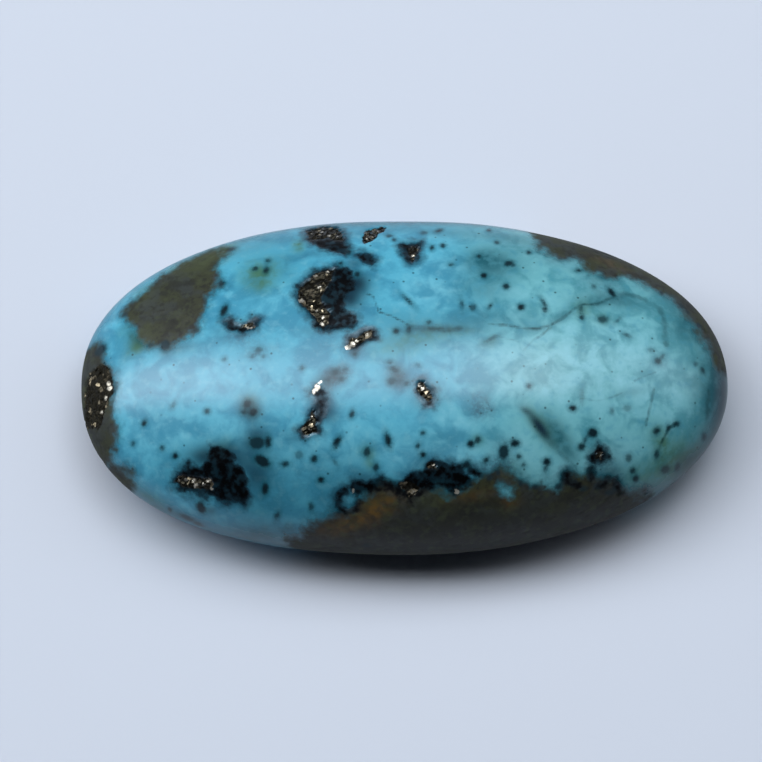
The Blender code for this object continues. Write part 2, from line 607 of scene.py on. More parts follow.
PYRITE = {
    "heart_gold": [
        (336, 267), (316, 273), (303, 284), (297, 293), (298, 300), (311, 312), (320, 327), (327, 324),
        (331, 314), (322, 305), (320, 296), (328, 286),
    ],
    "top_gold": [(305, 231), (319, 228), (336, 227), (343, 234), (344, 241), (326, 237), (311, 239)],
    "diagonal_gold": [(361, 235), (367, 230), (379, 226), (387, 227), (374, 238), (365, 245)],
    "triangle_gold": [(407, 249), (412, 245), (418, 246), (413, 261)],
    "slash_gold": [(348, 346), (350, 341), (367, 331), (372, 330), (371, 336), (354, 347)],
    "bell_gold": [(301, 431), (306, 435), (317, 433), (313, 410)],
    "drop_gold": [(417, 389), (418, 383), (423, 382), (433, 396), (430, 403)],
    "wedge_gold": [(174, 483), (178, 477), (208, 479), (213, 486), (210, 491), (184, 487)],
    "hook_gold": [(240, 325), (254, 321), (254, 327), (240, 329)],
    "tip_gold": [(87, 375), (104, 362), (109, 370), (113, 392), (104, 412), (97, 430), (83, 429)],
    "seam_gold": [(429, 462), (435, 463), (438, 470), (427, 468)],
    "seam_dust": [(398, 485), (412, 482), (420, 490), (410, 499)],
    "nut_gold": [(597, 452), (602, 452), (603, 459), (598, 460)],
}
# (width, line)
BLACK_LINES = {
    "ring_left": (6, [(345, 491), (339, 497), (337, 504), (341, 511), (350, 514), (357, 510), (360, 503)]),
    "hook": (7, [(227, 321), (233, 326), (244, 328), (253, 324), (256, 320)]),
    "stem": (10, [(317, 392), (321, 401), (321, 410), (315, 419)]),
    "knot_west": (8, [(568, 474), (569, 483)]),
    "knot_low": (7, [(573, 484), (580, 488)]),
    "knot_middle": (6, [(591, 470), (591, 480)]),
    "knot_long": (7, [(598, 488), (606, 484)]),
    "knot_east": (8, [(615, 482), (620, 493)]),
    "knot_far_east": (5, [(645, 491), (646, 494)]),
    "knot_by_seam": (6, [(470, 470), (478, 474)]),
}


fine_plan = wander(size=0.35, amount=0.09, seed=21)
black = deepest(fine_plan, on_plan(BLACK.values()))
for width, line in BLACK_LINES.values():
    black = np.maximum(black, width / 2 * PIXEL - distance_to_runs(points, seen_points(line)))
pyrite = deepest(fine_plan, on_plan(PYRITE.values()))
store("black", np.where(on_top, black, FAR))
store("pyrite", np.where(on_top, pyrite, FAR))
print(f"black covers {np.mean(black > 0):.1%} and pyrite {np.mean(pyrite > 0):.1%} of the points")

# %% [markdown]
# ## Flecks and veins
#
# Flecks are crystals of pyrite or limonite too small to glint, each an oval of a tenth to three
# quarters of a millimetre. Veins are healed cracks. Each has a tone, from 0 for a ghost to 1 for a
# black one.

# %% Flecks and veins
# tone: [(x, y, length, width, angle)]. A round fleck has one size, and an angle of 0 is left out
FLECKS = {
    1.0: [
        (224, 310, 12, 6, 70), (144, 423, 5, 4, 60), (175, 456, 5), (268, 442, 10, 5, 90),
        (265, 489, 11, 6, 85), (262, 461, 15, 9, 150), (201, 508, 11, 8, 120), (337, 442, 11, 5, 60),
        (388, 440, 12, 5, 105), (423, 455, 5), (321, 480, 6, 5), (471, 444, 6), (515, 443, 8, 6),
        (547, 462, 7, 6), (593, 433, 9, 8), (573, 408, 6, 5), (612, 292, 10, 5, 120), (699, 325, 6),
        (521, 307, 6), (484, 275, 6), (617, 487, 8, 11), (165, 345, 9, 11), (247, 404, 8, 7, 60),
        (253, 412, 8, 7),
    ],
    0.9: [
        (266, 270, 8, 5, 80), (170, 510, 4), (277, 516, 7, 3, 65), (285, 464, 6, 4), (187, 518, 16, 5, 152),
        (198, 524, 10, 5, 152), (352, 414, 6, 4, 80), (418, 446, 4, 3, 80), (314, 459, 6),
        (486, 460, 6, 4, 45), (504, 452, 14, 9, 85), (467, 465, 6), (582, 447, 7, 6, 30), (529, 386, 5),
        (657, 431, 7, 5, 50), (636, 479, 6), (645, 491, 6, 5), (582, 317, 5, 4, 90), (682, 306, 7, 5, 130),
        (662, 292, 4), (579, 270, 6, 3, 10), (509, 263, 9, 6, 20), (506, 286, 6), (545, 309, 6, 4, 90),
        (529, 252, 4), (479, 256, 4), (489, 230, 4), (443, 245, 5), (432, 247, 4, 6), (439, 230, 7, 4, 45),
        (349, 252, 4, 5), (341, 263, 4), (408, 300, 13, 3, 130), (396, 331, 5), (394, 369, 5, 8, 60),
        (357, 274, 5, 6), (565, 478, 8, 11), (574, 484, 10, 7), (591, 476, 7, 11), (599, 487, 10, 6, 10),
        (521, 484, 4, 5), (100, 350, 14, 10, 20),
    ],
    0.8: [
        (255, 268, 5), (268, 260, 4), (221, 283, 5, 7), (302, 368, 4), (207, 411, 5), (423, 433, 4),
        (367, 452, 8, 6, 80), (376, 468, 7, 5, 90), (286, 464, 4), (311, 507, 6, 4, 90),
        (478, 440, 6, 5, 60), (519, 457, 4), (524, 465, 3), (585, 441, 7, 2, 65), (677, 424, 6, 5),
        (669, 428, 4, 6), (657, 455, 5, 7), (666, 470, 10, 7, 10), (678, 468, 6, 9), (705, 437, 6, 8),
        (633, 471, 5), (658, 361, 6), (688, 312, 5, 4, 130), (703, 370, 4, 5), (544, 303, 9, 3, 115),
        (513, 265, 4, 3), (497, 242, 4), (451, 264, 4, 3), (394, 239, 4), (389, 235, 5, 4), (409, 329, 4, 8),
        (392, 381, 7, 8, 120), (390, 362, 5, 4), (407, 383, 6, 5), (355, 354, 4), (583, 489, 9, 5),
        (608, 479, 8, 7), (610, 493, 9, 5), (559, 487, 6, 5), (498, 473, 5), (490, 478, 6, 5),
        (536, 487, 5, 4), (231, 249, 8, 5, 20), (222, 283, 5, 6), (244, 412, 5, 4), (257, 443, 14, 11),
        (335, 372, 8, 6, 20),
    ],
    0.7: [
        (224, 359, 4), (173, 405, 5, 3, 60), (133, 444, 4), (162, 448, 4), (546, 468, 8, 3, 80),
        (581, 309, 7, 3, 90), (603, 319, 10, 7, 10), (462, 304, 8, 3, 95), (429, 322, 4), (196, 330, 5, 4),
        (341, 379, 6, 5), (345, 369, 4), (258, 350, 8, 6, 20),
    ],
    0.6: [
        (629, 458, 6, 7), (627, 335, 6, 3, 160), (662, 357, 6, 3, 60), (424, 232, 6, 5),
        (473, 307, 7, 6, 70), (490, 306, 6, 3, 60), (418, 365, 4, 5, 60), (493, 338, 12, 3, 30),
        (367, 546, 8, 5), (150, 345, 6, 5), (125, 314, 6, 5), (327, 380, 6, 4), (252, 356, 5, 4),
    ],
    0.5: [(618, 320, 8, 2, 50), (696, 364, 4), (594, 286, 4, 5), (400, 381, 8, 3), (263, 356, 4)],
    0.4: [(257, 353, 6, 5), (299, 455, 8, 7), (335, 462, 7, 3, 120), (612, 411, 4, 6), (651, 350, 5, 3)],
    0.3: [(582, 396, 14, 4, 88), (627, 408, 8, 6)],
}
# (width, tone, line)
VEINS = {
    "main": (2.2, 0.7, [
        (489, 324), (509, 325), (523, 328), (536, 329), (551, 325), (563, 318), (573, 309), (584, 304),
        (597, 304), (617, 295),
    ]),
    "arch": (4.5, 0.45, [(617, 295), (627, 293), (642, 298), (659, 307), (663, 315), (665, 327), (666, 345)]),
    "branch": (1.8, 0.45, [(551, 327), (543, 334), (533, 340), (524, 350)]),
    "faint": (1.6, 0.3, [(493, 335), (500, 337), (518, 341)]),
    "left": (1.8, 0.75, [(366, 293), (373, 296), (379, 312), (391, 315), (411, 326)]),
    "left_end": (3.5, 0.5, [(411, 326), (426, 328), (451, 330), (461, 328)]),
    "crack": (2.2, 0.6, [(654, 389), (651, 404), (646, 425)]),
    "green_vein": (2.6, 0.75, [(677, 424), (669, 428), (665, 437), (658, 452)]),
    "thin_right": (1.3, 0.35, [(656, 372), (645, 376), (634, 381)]),
    "thin_low": (1.5, 0.3, [(580, 398), (597, 401), (612, 397), (622, 393)]),
    "groove_tail": (3.5, 0.5, [(551, 443), (560, 453), (567, 461)]),
    "rim_crack": (4.0, 0.5, [(709, 392), (708, 404), (708, 417)]),
}


def lay_marks(depths, tones):
    """The deepest of several marks at each point, with that mark's tone."""
    depths = np.array(depths)
    return depths.max(axis=0), np.array(tones)[depths.argmax(axis=0)]


fleck_depths = [depth_in_oval(*oval) for ovals in FLECKS.values() for oval in ovals]
fleck, fleck_tone = lay_marks(fleck_depths, [tone for tone, ovals in FLECKS.items() for _ in ovals])
vein_shares = [
    1 - distance_to_runs(points, seen_points(line)) / (width / 2 * PIXEL) for width, _, line in VEINS.values()
]
vein, vein_tone = lay_marks(vein_shares, [tone for _, tone, _ in VEINS.values()])
store("fleck", np.where(on_top, np.maximum(fleck, FAR), FAR))
store("fleck_tone", fleck_tone)
store("vein", np.where(on_top, vein, 10 * FAR))
store("vein_tone", vein_tone)
print(f"{len(fleck_depths)} flecks and {len(VEINS)} veins")

# %% [markdown]
# ## Soft shades
#
# Turquoise is a little see-through, so what lies just under the polish tints it: black mineral gives
# an inky haze, limonite a mossy green, clay a plum grey, chalky stone a pale milk, and purer, less
# chalky stone a deep teal. Some ovals are painted shade and light instead. Teal ovals along the far rim
# and the front left edge, and teal and haze ovals at the right end, are painted shade. Pale ovals on the
# right of the softbox's pale band are a painted highlight, and those on the front of the dome are
# painted light. The rim is also painted a darker teal all round, a painted shade where the dome turns
# away from the light. Two more shades, ochre and soot, warm or darken the host rock. Long soot ovals
# paint shade over the front band and darken the far shoulder. Each oval fades as a bell, e to the minus
# distance squared.

# %% Soft shades
# kind: [(x, y, half length, half width, strength, angle)]. An angle of 0 is left out
SHADES = {
    "moss": [
        (138, 346, 7, 14, 0.8, -50), (260, 274, 19, 18, 0.9), (263, 286, 8, 7, 0.4), (299, 245, 6, 9, 0.9),
        (367, 452, 8, 8, 0.5), (371, 463, 6, 8, 0.5), (478, 440, 6, 6, 0.5), (662, 441, 9, 16, 0.8, 35),
        (668, 465, 20, 13, 0.8, 20), (686, 450, 14, 12, 0.4), (603, 319, 9, 8, 0.4), (583, 310, 9, 11, 0.5),
        (640, 478, 16, 12, 0.5), (508, 470, 14, 9, 0.4), (455, 330, 22, 7, 0.3), (491, 341, 12, 6, 0.3, 30),
        (125, 330, 8, 9, 0.3), (220, 450, 14, 8, 0.4, 30), (150, 500, 20, 8, 0.5, -30),
        (400, 345, 32, 12, 0.4, 10), (425, 331, 28, 9, 0.4), (690, 470, 24, 20, 0.6),
        (205, 260, 26, 12, 0.9, 28), (222, 249, 12, 6, 0.8, 20), (146, 292, 12, 18, 0.5, -30),
        (176, 268, 16, 8, 0.6, 30), (540, 426, 22, 7, 0.6, -52), (137, 338, 12, 12, 0.6),
        (250, 406, 9, 12, 0.5, 20), (150, 330, 16, 8, 0.2, 20), (440, 500, 26, 10, 0.5, 10),
        (520, 512, 60, 8, 0.35, 5), (640, 262, 40, 8, 0.4, -35),
    ],
    # Teal ovals: purer stone, and painted shade along the far rim, at the right end and on the front left
    # edge
    "teal": [
        (562, 317, 18, 5, 0.5, 38), (596, 303, 26, 5, 0.5, 15), (536, 329, 16, 4, 0.3),
        (262, 536, 70, 12, 0.7, 12), (716, 387, 22, 86, 0.95), (698, 482, 46, 30, 0.9, 40),
        (674, 296, 50, 18, 0.6, -35), (400, 222, 170, 9, 0.7), (250, 238, 60, 8, 0.5, 18),
        (690, 320, 22, 20, 0.4), (577, 268, 54, 11, 0.3, -25), (492, 264, 30, 22, 0.8, 10),
        (484, 258, 14, 11, 0.8), (556, 434, 24, 11, 0.95, -50), (568, 452, 16, 7, 0.6, -50),
        (282, 262, 24, 20, 0.35), (482, 290, 28, 14, 0.4), (602, 300, 34, 8, 0.5, 5),
        (420, 340, 60, 8, 0.25), (632, 392, 18, 5, 0.3, 20), (685, 330, 18, 16, 0.5),
        (270, 462, 24, 30, 0.3), (330, 470, 50, 30, 0.3), (620, 300, 40, 8, 0.4, -10),
        (200, 462, 42, 18, 0.5), (255, 505, 34, 22, 0.4), (480, 318, 44, 12, 0.4), (395, 318, 34, 12, 0.3),
        (450, 232, 70, 8, 0.4, -5), (320, 236, 60, 9, 0.3, 5), (255, 247, 34, 9, 0.3, 20),
        (545, 245, 50, 10, 0.4, -15), (330, 500, 50, 26, 0.3), (440, 440, 60, 10, 0.2),
    ],
    "plum": [
        (336, 375, 12, 9, 0.9, 20), (333, 378, 16, 10, 0.6, 40), (345, 370, 8, 6, 0.5),
        (480, 410, 11, 9, 0.8, 20), (489, 405, 4, 9, 0.6, 30), (478, 398, 8, 8, 0.5), (240, 338, 18, 9, 0.5),
        (257, 352, 16, 10, 0.5), (430, 328, 26, 6, 0.6), (397, 375, 9, 14, 0.6, 20),
        (250, 410, 12, 14, 0.5, -30), (341, 288, 9, 14, 0.3), (659, 362, 12, 10, 0.3),
        (330, 345, 22, 9, 0.3, 20), (356, 350, 9, 7, 0.5, 30), (605, 288, 22, 10, 0.4, -20),
        (504, 452, 12, 14, 0.5), (490, 468, 14, 8, 0.6), (503, 466, 13, 9, 0.7), (556, 476, 12, 8, 0.3),
        (606, 470, 14, 9, 0.5),
    ],
    # Haze ovals: inky tint round black mineral, and the long ones at the right end are painted shade
    "haze": [
        (350, 285, 20, 20, 0.8), (340, 295, 14, 25, 0.4), (356, 262, 16, 8, 0.5, 20),
        (222, 455, 22, 14, 0.8), (256, 475, 16, 18, 0.7), (203, 458, 10, 7, 0.6), (240, 462, 20, 14, 0.5),
        (205, 455, 22, 9, 0.4), (255, 441, 12, 10, 0.7), (322, 402, 10, 16, 0.9, 10),
        (328, 414, 13, 12, 0.4), (430, 466, 18, 12, 0.6), (364, 480, 18, 9, 0.6), (407, 478, 14, 9, 0.5),
        (302, 284, 10, 9, 0.5), (322, 330, 22, 7, 0.4), (233, 330, 22, 10, 0.3), (180, 347, 24, 8, 0.4),
        (427, 396, 13, 12, 0.7, 30), (298, 436, 14, 9, 0.4), (211, 511, 7, 6, 0.6), (606, 455, 18, 14, 0.3),
        (613, 476, 14, 12, 0.5), (166, 348, 9, 9, 0.5), (100, 345, 8, 8, 0.5), (320, 253, 22, 6, 0.3),
        (440, 329, 40, 4, 0.4), (396, 378, 13, 12, 0.4, 30), (724, 395, 10, 66, 0.9),
        (712, 450, 12, 30, 0.5, -20), (540, 427, 19, 5, 1.0, -52), (541, 428, 12, 4, 0.8, -52),
        (526, 411, 7, 3, 0.7, -30), (357, 283, 12, 12, 0.9), (690, 464, 18, 15, 0.6), (596, 482, 30, 8, 0.7),
        (505, 480, 24, 9, 0.5), (250, 408, 9, 12, 0.8, 30), (336, 375, 10, 9, 0.6),
        (398, 376, 8, 12, 0.5, 20), (135, 340, 12, 10, 0.3), (258, 436, 13, 13, 0.5),
        (640, 496, 30, 8, 0.5, 10), (400, 495, 60, 9, 0.5, 5), (349, 298, 13, 15, 0.9),
        (326, 380, 12, 9, 0.5, 20), (320, 401, 8, 13, 0.6), (148, 342, 14, 7, 0.4, -20),
        (566, 258, 30, 4, 0.5, 20), (608, 276, 22, 4, 0.5, 20),
    ],
    "ochre": [
        (374, 512, 30, 9, 1.0, 28), (352, 526, 28, 9, 0.7, 20), (330, 530, 22, 8, 0.4, 10),
        (511, 503, 10, 7, 0.5), (470, 497, 24, 6, 0.3, 10), (610, 262, 20, 6, 0.3, -20),
    ],
    # Soot ovals: sooty spots in the rock, long ovals that paint shade over the front band, and one that
    # darkens the far shoulder
    "soot_and_shade": [
        (169, 319, 11, 10, 0.9), (186, 305, 8, 7, 0.9), (158, 281, 7, 9, 0.5), (471, 513, 19, 7, 0.9, -12),
        (437, 515, 7, 7, 0.6), (306, 526, 8, 6, 0.7), (596, 512, 14, 6, 0.4, 20), (186, 290, 14, 20, 0.2),
        (458, 538, 175, 30, 0.9, 5), (600, 512, 60, 18, 0.6, 20), (93, 440, 16, 50, 0.5),
        (598, 250, 60, 12, 0.7, 22), (102, 352, 12, 12, 0.9),
    ],
    # Pale ovals: chalky patches, a painted highlight on the right of the pale band, and painted light on the
    # front of the dome
    "pale": [
        (165, 432, 40, 24, 0.3), (330, 445, 70, 26, 0.3), (220, 428, 50, 16, 0.25),
        (590, 350, 70, 38, 0.85, 10), (545, 380, 44, 24, 0.8), (625, 412, 26, 12, 0.5),
        (622, 335, 30, 12, 0.4), (540, 300, 36, 20, 0.4), (625, 380, 60, 30, 0.55), (560, 470, 40, 14, 0.3),
        (480, 345, 40, 20, 0.3), (440, 450, 20, 8, 0.2), (500, 290, 20, 14, 0.2), (280, 300, 30, 20, 0.2),
        (525, 446, 16, 16, 0.5), (562, 262, 26, 12, 0.4), (430, 290, 34, 16, 0.5), (600, 335, 40, 14, 0.5),
        (440, 452, 50, 14, 0.5), (620, 450, 24, 15, 0.5), (452, 266, 30, 12, 0.4), (652, 382, 34, 24, 0.5),
        (677, 412, 16, 16, 0.4), (452, 422, 30, 14, 0.4),
    ],
}
RIM_WIDTH = 1.3  # the dark rim reaches this far above and below the widest line

for kind, ovals in SHADES.items():
    clear = np.ones(len(points))
    for x, y, half_length, half_width, strength, *angle in ovals:
        distance = oval_distance(x, y, half_length, half_width, *angle)
        clear *= 1 - strength * np.exp(-(distance**2))
    store(kind, 1 - clear)
    print(f"{kind}: {len(ovals)} ovals")
# rim: a share that the material paints darker teal, a painted shade where the dome turns from the light, and
# polishes duller
rim = np.clip(1 - np.abs(points[:, 2] - GIRDLE_HEIGHT) / RIM_WIDTH, 0, 1)
store("rim", rim)
print(f"the dark rim reaches {RIM_WIDTH} mm above and below the widest line")

# %% [markdown]
# ## Relief
#
# A polished stone is not a perfect dome. The wheel leaves broad, shallow waves. Host rock and black
# mineral are softer than turquoise and sit a little lower, with pits. Pyrite is harder but brittle and
# breaks out in small flat faces. All of it is real shape, pressed in along the surface's normal and
# never out, so the stone keeps its size.

# %% Relief
WAVE_DEPTH = 0.05
ROCK_DROP, ROCK_PIT = 0.01, 0.02
BLACK_DROP, BLACK_ROUGH = 0.01, 0.03
FACET_SLOPE = 0.30
FACET_DROP = 0.03
POINTS_IN_FACET = 5
# A mark's relief starts at the first depth inside it and is full at the second
ROCK_EDGE, BLACK_EDGE = (-0.1, 0.15), (-0.04, 0.06)
FACETS_FROM = -0.03  # the flat faces of the pyrite start at this depth
RELIEF_FADE = 0.3  # the relief gives out over this height above the back
# (x, y, size) of the grains painted pale, as glints
BRIGHT_GRAINS = [
    (301, 300, 5), (319, 286, 4), (316, 310, 4), (322, 323, 5), (315, 275, 4), (327, 271, 3), (323, 317, 3),
    (348, 347, 6), (353, 344, 6), (357, 340, 4), (368, 334, 4), (314, 391, 5), (317, 387, 6), (320, 382, 4),
    (312, 416, 3), (310, 430, 3), (420, 384, 4), (423, 388, 5), (457, 492, 5), (353, 491, 3), (413, 493, 3),
    (109, 388, 6), (108, 383, 5), (105, 398, 4), (101, 412, 3), (178, 481, 3), (185, 480, 3), (193, 481, 3),
    (195, 486, 4), (203, 485, 3), (208, 481, 4), (211, 489, 3), (312, 232, 3), (322, 231, 3), (329, 234, 4),
    (337, 236, 3), (367, 238, 3), (378, 230, 3), (413, 254, 3), (247, 327, 3), (251, 327, 3), (433, 466, 3),
]


def soft_step(values, low, high):
    """0 below low, 1 above high, and 3f² - 2f³ between."""
    part = np.clip((values - low) / (high - low), 0, 1)
    return part * part * (3 - 2 * part)


def facet_relief(inside):
    """Flat faces in the pyrite. Each point belongs to the nearest of some seeds, and each seed's face
    tilts its own way, so the height is the face's slope times the way from the seed."""
    random = np.random.default_rng(5)
    places = points[inside]
    seeds = places[random.choice(len(places), len(places) // POINTS_IN_FACET, replace=False)]
    slopes = random.normal(0, FACET_SLOPE, (len(seeds), 3))
    own = np.linalg.norm(places[:, None] - seeds, axis=2).argmin(axis=1)
    return np.sum(slopes[own] * (places - seeds[own]), axis=1)


grain = np.max([depth_in_oval(*spot) for spot in BRIGHT_GRAINS], axis=0)
store("grain", np.maximum(grain, FAR))
relief = -WAVE_DEPTH * lattice_noise(points, cell=3.5, seed=31)
rock_part = soft_step(rock, *ROCK_EDGE)
pits = soft_step(lattice_noise(points, cell=0.28, seed=32), 0.72, 0.9)
relief -= rock_part * (ROCK_DROP + ROCK_PIT * pits)
black_part = soft_step(black, *BLACK_EDGE) * on_top
relief -= black_part * (BLACK_DROP + BLACK_ROUGH * lattice_noise(points, cell=0.16, seed=33))
in_pyrite = (pyrite > FACETS_FROM) & on_top
facets = np.zeros(len(points))
facets[in_pyrite] = facet_relief(in_pyrite)
relief += np.clip(facets, -FACET_DROP, FACET_DROP) - FACET_DROP * in_pyrite
relief *= soft_step(points[:, 2], 0, RELIEF_FADE)
moved = points + relief[:, None] * normals
stone.data.vertices.foreach_set("co", (moved * MM).ravel())
print(f"relief from {relief.min():.3f} to {relief.max():.3f} mm, {in_pyrite.sum()} points in pyrite")

# A face is flat where its first corner lies in pyrite
first_corners = np.concatenate([cells[:, 0], quads[:, 0], fan[:, 0]])
flat = in_pyrite[first_corners]
stone.data.polygons.foreach_set("use_smooth", ~flat)
stone.data.update()
print(f"{flat.sum()} faces of pyrite are flat")

# %% [markdown]
# ## The stone's material
#
# One material covers the stone, because one polish does. Its colour is laid in layers, each over the
# last: the blue ground with its shades, veins and specks, then host rock, flecks, black mineral and at
# last pyrite. Noise in millimetres gives the ground its clouds and the marks their ragged edges.

# %% Noise and stored marks
NOISE_STEP_X, NOISE_Y, NOISE_STEP_Z = 17.3, 5.9, -8.1  # how far apart the noises are read
material = start_material("turquoise_polish")
object_place = add_node("ShaderNodeTexCoord").outputs["Object"]
in_millimetres = vector_maths("MULTIPLY", object_place, (1 / MM, 1 / MM, 1 / MM))
noise_count = 0


def stored(name):
    """A number stored on the skin."""
    return add_node("ShaderNodeAttribute", attribute_name=name).outputs["Fac"]


def noise(size, detail=2.0, distortion=0.0):
    """Noise from 0 to 1 with features of that size in millimetres. Each call reads another place."""
    global noise_count
    noise_count += 1
    shift = (NOISE_STEP_X * noise_count, NOISE_Y, NOISE_STEP_Z * noise_count)
    made = add_node("ShaderNodeTexNoise", vector_maths("ADD", in_millimetres, shift))
    made.inputs["Scale"].default_value = 1 / size
    made.inputs["Detail"].default_value = detail
    made.inputs["Distortion"].default_value = distortion
    return made.outputs["Fac"]


def swing(value, width):
    """Noise swung about zero: (noise - 0.5) × width."""
    return times(maths("SUBTRACT", value, 0.5), width)


def ragged(depth, size, amount):
    """A stored depth with noise of plus or minus the amount added."""
    return plus(depth, swing(noise(size, 3.0), 2 * amount))


def patchy(name, value, low, high, least, most=1.0):
    """A stored share times a ramp of some noise, so that the shade comes out in patches."""
    return times(stored(name), ramp(value, low, high, least, most))


def cell_pattern(size):
    """Small cells. Gives each cell's random colour, and the distance to its seed in cells."""
    made = add_node("ShaderNodeTexVoronoi", in_millimetres)
    made.inputs["Scale"].default_value = 1 / size
    return made.outputs["Color"], made.outputs["Distance"]


def luck(cell_colour):
    """One random number from 0 to 1 for each cell: the red of its random colour."""
    return add_node("ShaderNodeSeparateColor", cell_colour).outputs[0]


# %% [markdown]
# ## The blue
#
# Good turquoise is sky blue on the left of this stone and turns greener to the right, where there is
# more iron. It is a packed powder of tiny crystals, so its colour lies in soft clouds of several sizes,
# with chalky spots in between. A single noise would look like marble. Here a broad, a middle, a small
# and a fine noise each do one job, and the stored shades, veins and the dark rim are mixed in after.
# Specks too small to place one by one are the hearts of a few lucky cells of a cell pattern.

# %% Colour of the turquoise
DEEP_BLUE = (0.044, 0.235, 0.345)
SKY_BLUE = (0.078, 0.355, 0.480)
GREEN_DEEP = (0.068, 0.260, 0.305)
GREEN_BLUE = (0.130, 0.380, 0.420)
# the colour of chalky stone, also used for the painted highlight and painted light of the pale ovals
MILK_AND_PAINTED_LIGHT = (0.215, 0.515, 0.590)
DEEP_TEAL = (0.006, 0.070, 0.092)
MOSS = (0.052, 0.150, 0.100)
PLUM = (0.036, 0.078, 0.115)
INK_HAZE = (0.005, 0.020, 0.034)
VEIN_DARK = (0.005, 0.026, 0.028)
FLECK_DARK = (0.006, 0.022, 0.030)
SPECK_CELL, SPECK_TONE = 0.5, 0.7
# The blue turns green between these two places along X, and this border wanders by so much, in mm
GREEN_FROM, GREEN_TO, BORDER_WANDER = 0.5, 7.0, 6.0

broad, middle, small, fine = noise(4.5), noise(1.1, 4.0, 0.5), noise(0.4, 3.0), noise(0.14, 3.0)
clouds = plus(times(broad, 0.4), times(middle, 0.6))
eastward = add_node("ShaderNodeSeparateXYZ", in_millimetres).outputs["X"]
eastward = plus(eastward, swing(broad, BORDER_WANDER))
# chalky patches, with the painted highlight and painted light of the pale ovals
chalk_and_painted_light = patchy("pale", middle, 0.35, 0.65, 0.2, 0.9)
chalk_and_painted_light = plus(chalk_and_painted_light, ramp(small, 0.50, 0.72, 0.0, 0.18))
chalk_and_painted_light = plus(chalk_and_painted_light, ramp(fine, 0.56, 0.76, 0.0, 0.10))
black_depth = ragged(ragged(stored("black"), 0.5, 0.28), 0.15, 0.10)
rock_depth = ragged(ragged(stored("rock"), 0.6, 0.36), 0.2, 0.18)
vein_part = times(ramp(ragged(stored("vein"), 0.25, 1.5), -1.4, 1.0), stored("vein_tone"))
vein_part = times(vein_part, ramp(noise(0.7), 0.35, 0.6, 0.45))
fleck_depth = ragged(stored("fleck"), 0.15, 0.06)
fleck_part = times(ramp(fleck_depth, -0.08, 0.07), stored("fleck_tone"))
speck_colour, speck_distance = cell_pattern(SPECK_CELL)
speck_part = times(ramp(speck_distance, 0.17, 0.05), ramp(luck(speck_colour), 0.55, 0.8))

ground = layered(
    blend(ramp(clouds, 0.40, 0.58), DEEP_BLUE, SKY_BLUE),
    (ramp(eastward, GREEN_FROM, GREEN_TO), blend(ramp(clouds, 0.42, 0.58), GREEN_DEEP, GREEN_BLUE)),
    (chalk_and_painted_light, MILK_AND_PAINTED_LIGHT),
    (ramp(small, 0.50, 0.26, 0.0, 0.3), DEEP_BLUE),
    # teal: purer stone, and painted shade along the far rim, at the right end and on the front left edge
    (patchy("teal", small, 0.3, 0.6, 0.7), DEEP_TEAL),
    (patchy("moss", small, 0.35, 0.6, 0.75, 1.2), MOSS),
    (patchy("plum", fine, 0.35, 0.65, 0.45, 0.9), PLUM),
    # the rim painted darker teal all round: a painted shade
    (patchy("rim", middle, 0.35, 0.6, 0.35, 0.75), DEEP_TEAL),
    # haze: inky tint round black mineral, and painted shade at the right end
    (larger(stored("haze"), ramp(black_depth, -0.50, 0.10, 0.0, 0.9)), INK_HAZE),
    (ramp(rock_depth, -0.50, 0.05, 0.0, 0.65), DEEP_TEAL),
    (vein_part, VEIN_DARK),
    (times(ramp(fleck_depth, -0.22, 0.0, 0.0, 0.5), stored("fleck_tone")), DEEP_TEAL),
    (times(speck_part, SPECK_TONE), VEIN_DARK),
)
print(f"{len(tree.nodes)} nodes make the blue ground")

# %% [markdown]
# ## Rock, black and pyrite
#
# The host rock is mottled olive and grey, with sooty spots and rusty streaks. The black mineral is
# smoky at its edges. Pyrite is a heap of small crystals, so each cell of a cell pattern is one crystal.
# Most are painted dark bronze brown, a painted shade for crystals turned from the light, and a lucky
# few are painted brass as painted glints. A few single grains are listed one by one and painted pale,
# also as painted glints.

# %% Colour of the host rock, the black and the pyrite
ROCK_OLIVE = (0.022, 0.026, 0.009)
ROCK_GREY = (0.023, 0.029, 0.025)
ROCK_MOSS = (0.040, 0.052, 0.018)
OCHRE = (0.130, 0.068, 0.008)
# the colour of sooty spots, also used for the painted shade over the front band
SOOT_AND_SHADE = (0.0055, 0.0065, 0.0035)
BLACK_BODY = (0.0045, 0.0055, 0.0070)
# pyrite painted dark: a painted shade for crystals turned from the light
PYRITE_PAINTED_SHADE = (0.020, 0.018, 0.012)
# pyrite's brass, used only for the painted glints of lucky crystals
PYRITE_PAINTED_GLINT = (0.52, 0.44, 0.30)
# grains painted pale: painted glints
GRAIN_PAINTED_GLINT = (0.68, 0.64, 0.54)
CRYSTAL_SIZE = 0.17
CRYSTAL_TILT = 0.6

rock_part = ramp(rock_depth, -0.26, 0.22)
rock_colour = layered(
    blend(ramp(noise(1.1, 3.0), 0.42, 0.58), ROCK_OLIVE, ROCK_GREY),
    (ramp(noise(0.7, 2.0), 0.50, 0.66, 0.0, 0.7), SOOT_AND_SHADE),
    (ramp(noise(0.25, 3.0), 0.50, 0.66, 0.0, 0.65), SOOT_AND_SHADE),
)
rust = patchy("ochre", noise(0.4, 3.0), 0.3, 0.65, 0.3)
rock_colour = layered(
    rock_colour,
    (patchy("moss", noise(0.5, 3.0), 0.35, 0.6, 0.5), ROCK_MOSS),
    (rust, OCHRE),
    # sooty spots, and painted shade over the front band
    (patchy("soot_and_shade", noise(0.5, 3.0), 0.38, 0.58, 0.55), SOOT_AND_SHADE),
    (ramp(noise(0.4, 3.0), 0.52, 0.70, 0.0, 0.4), ROCK_MOSS),
)
black_part = times(ramp(black_depth, -0.13, 0.16), ramp(noise(0.35, 3.0), 0.36, 0.60, 0.5))
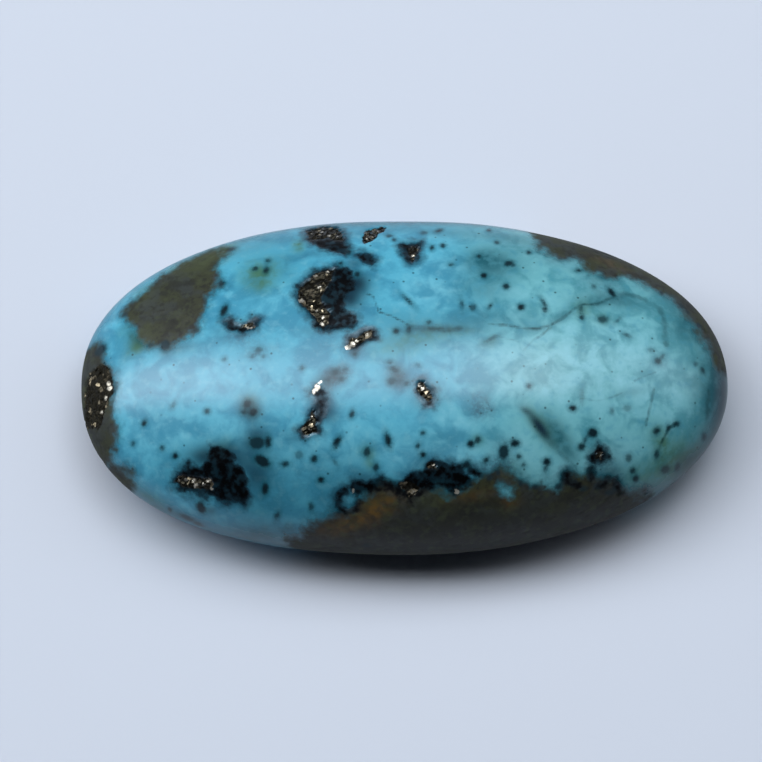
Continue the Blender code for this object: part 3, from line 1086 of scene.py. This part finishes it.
crystal_colour, _ = cell_pattern(CRYSTAL_SIZE)
pyrite_part = ramp(ragged(stored("pyrite"), 0.2, 0.10), -0.04, 0.05)
# painted glints: a lucky few crystals get the brass colour, picked by luck and noise, not by how they face
painted_glint = times(ramp(luck(crystal_colour), 0.78, 0.96), ramp(noise(0.5), 0.42, 0.62, 0.1))
# the listed grains, painted pale as glints
grain_part = ramp(ragged(stored("grain"), 0.15, 0.10), -0.03, 0.06)
colour = layered(
    ground,
    (rock_part, rock_colour),
    (fleck_part, FLECK_DARK),
    (black_part, BLACK_BODY),
    (pyrite_part, PYRITE_PAINTED_SHADE),
    (times(painted_glint, pyrite_part), PYRITE_PAINTED_GLINT),
    (grain_part, GRAIN_PAINTED_GLINT),
)
tree.links.new(colour, shader.inputs["Base Color"])
print(f"{len(tree.nodes)} nodes with the rock, the black and the pyrite")

# %% [markdown]
# ## Gloss
#
# Turquoise takes a soft polish. The rock beside it is coarser and polishes duller, and so do the black
# mineral and the rim. Pyrite has a metal's shine, and the black has some of it. Each crystal's normal
# is tilted by its cell's random colour, so that its shine comes and goes as the stone turns, on top of
# the glints painted into its colour.

# %% Gloss, metal and fine bumps
POLISH, POLISH_WANDER = 0.18, 0.10
ROCK_DULLER, RIM_DULLER, BLACK_DULLER = 0.38, 0.14, 0.14
BLACK_METAL, FLECK_METAL, PYRITE_METAL = 0.85, 0.3, 0.9
BUMP_DISTANCE, BUMP_STRENGTH = 0.02 * MM, 0.35

roughness = plus(POLISH, times(noise(0.8, 3.0), POLISH_WANDER))
for part, duller in ((rock_part, ROCK_DULLER), (stored("rim"), RIM_DULLER), (black_part, BLACK_DULLER)):
    roughness = plus(roughness, times(part, duller))
tree.links.new(roughness, shader.inputs["Roughness"])
metal = larger(times(black_part, BLACK_METAL), times(fleck_part, FLECK_METAL))
metal = larger(metal, larger(times(pyrite_part, PYRITE_METAL), grain_part))
tree.links.new(metal, shader.inputs["Metallic"])
shader.inputs["IOR"].default_value = 1.5
shader.inputs["Specular IOR Level"].default_value = 0.38

tilted_part = times(pyrite_part, maths("SUBTRACT", 1.0, grain_part))
tilt = vector_maths("SUBTRACT", crystal_colour, (0.5, 0.5, 0.5))
tilt = vector_maths("SCALE", tilt, None, None, times(tilted_part, CRYSTAL_TILT))
bump = add_node("ShaderNodeBump")
bump.inputs["Distance"].default_value = BUMP_DISTANCE
bump.inputs["Strength"].default_value = BUMP_STRENGTH
dull_part = larger(rock_part, black_part)
rough_height = times(noise(0.12, 3.0), ramp(dull_part, 0.0, 1.0, 0.3, 0.7))
tree.links.new(rough_height, bump.inputs["Height"])
normal = vector_maths("NORMALIZE", vector_maths("ADD", bump.outputs[0], tilt))
tree.links.new(normal, shader.inputs["Normal"])
stone.data.materials.append(material)
print(f"{len(tree.nodes)} nodes in the stone's material")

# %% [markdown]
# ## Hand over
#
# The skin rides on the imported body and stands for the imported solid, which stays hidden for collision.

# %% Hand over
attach(stone, "root")
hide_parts("turquoise_stone")
